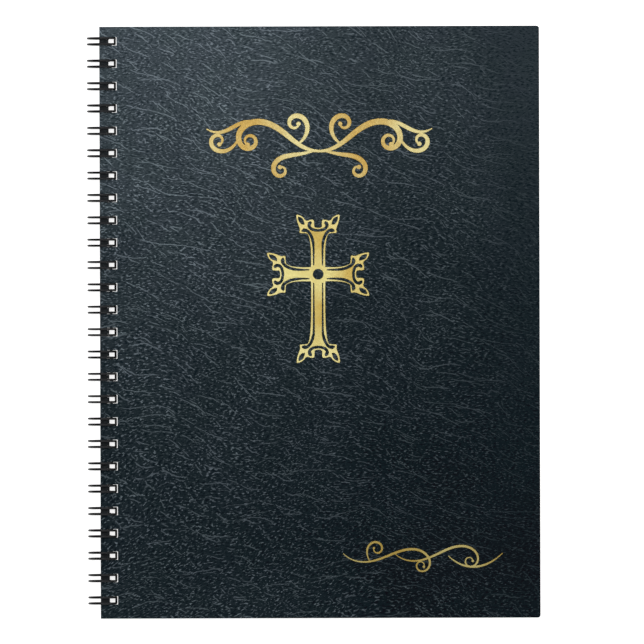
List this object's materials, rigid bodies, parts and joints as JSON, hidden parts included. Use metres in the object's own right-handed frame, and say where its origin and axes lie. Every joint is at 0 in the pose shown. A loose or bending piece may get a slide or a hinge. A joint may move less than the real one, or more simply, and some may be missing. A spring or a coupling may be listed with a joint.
{
  "type": "wire-bound bible cover notebook",
  "caption": "Closed wire-bound book with a dark leather-look cover, gold cross and scrolls; covers and leaves turn on a black double-loop wire.",
  "frame": {"origin": "the middle of the closed book's bounding box, on the surface that it lies on", "axes": "+X from the spine to the fore-edge, +Y up the page towards its head, +Z out of the front cover"},
  "size_m": [0.17, 0.2222, 0.0112],
  "materials": {
    "leatherette": "grained, soft satin, slate blue-black",
    "board": "uncoated white card",
    "lining": "matt cream endpaper",
    "leaves": "matt ivory writing paper",
    "wire": "black nylon-coated, semi-gloss",
    "foil": "hot-stamped gold foil"
  },
  "bodies": {
    "wire": {"binding_wire": "wire"},
    "back_cover": {"back_cover_leatherette": "leatherette", "back_cover_board": "board", "back_cover_lining": "lining"},
    "leaves_01": {"leaf_section_01": "leaves"},
    "leaves_02": {"leaf_section_02": "leaves"},
    "leaves_03": {"leaf_section_03": "leaves"},
    "leaves_04": {"leaf_section_04": "leaves"},
    "leaves_05": {"leaf_section_05": "leaves"},
    "leaves_06": {"leaf_section_06": "leaves"},
    "leaves_07": {"leaf_section_07": "leaves"},
    "leaves_08": {"leaf_section_08": "leaves"},
    "leaves_09": {"leaf_section_09": "leaves"},
    "leaves_10": {"leaf_section_10": "leaves"},
    "front_cover": {"front_cover_lining": "lining", "front_cover_board": "board", "front_cover_leatherette": "leatherette", "cross_foil": "foil", "head_scroll_foil": "foil", "foot_scroll_foil": "foil"}
  },
  "joints": [
    {"name": "back_cover_turn", "type": "hinge", "parent": "wire", "child": "back_cover", "pos_m": [-0.08022, 0, 0.00559], "axis": [0, -1, 0], "range_deg": [0, 180]},
    {"name": "leaves_01_turn", "type": "hinge", "parent": "back_cover", "child": "leaves_01", "pos_m": [-0.08022, 0, 0.00559], "axis": [0, -1, 0], "range_deg": [0, 180]},
    {"name": "leaves_02_turn", "type": "hinge", "parent": "leaves_01", "child": "leaves_02", "pos_m": [-0.08022, 0, 0.00559], "axis": [0, -1, 0], "range_deg": [0, 180]},
    {"name": "leaves_03_turn", "type": "hinge", "parent": "leaves_02", "child": "leaves_03", "pos_m": [-0.08022, 0, 0.00559], "axis": [0, -1, 0], "range_deg": [0, 180]},
    {"name": "leaves_04_turn", "type": "hinge", "parent": "leaves_03", "child": "leaves_04", "pos_m": [-0.08022, 0, 0.00559], "axis": [0, -1, 0], "range_deg": [0, 180]},
    {"name": "leaves_05_turn", "type": "hinge", "parent": "leaves_04", "child": "leaves_05", "pos_m": [-0.08022, 0, 0.00559], "axis": [0, -1, 0], "range_deg": [0, 180]},
    {"name": "leaves_06_turn", "type": "hinge", "parent": "leaves_05", "child": "leaves_06", "pos_m": [-0.08022, 0, 0.00559], "axis": [0, -1, 0], "range_deg": [0, 180]},
    {"name": "leaves_07_turn", "type": "hinge", "parent": "leaves_06", "child": "leaves_07", "pos_m": [-0.08022, 0, 0.00559], "axis": [0, -1, 0], "range_deg": [0, 180]},
    {"name": "leaves_08_turn", "type": "hinge", "parent": "leaves_07", "child": "leaves_08", "pos_m": [-0.08022, 0, 0.00559], "axis": [0, -1, 0], "range_deg": [0, 180]},
    {"name": "leaves_09_turn", "type": "hinge", "parent": "leaves_08", "child": "leaves_09", "pos_m": [-0.08022, 0, 0.00559], "axis": [0, -1, 0], "range_deg": [0, 180]},
    {"name": "leaves_10_turn", "type": "hinge", "parent": "leaves_09", "child": "leaves_10", "pos_m": [-0.08022, 0, 0.00559], "axis": [0, -1, 0], "range_deg": [0, 180]},
    {"name": "front_cover_turn", "type": "hinge", "parent": "leaves_10", "child": "front_cover", "pos_m": [-0.08022, 0, 0.00559], "axis": [0, -1, 0], "range_deg": [0, 181.98]}
  ]
}
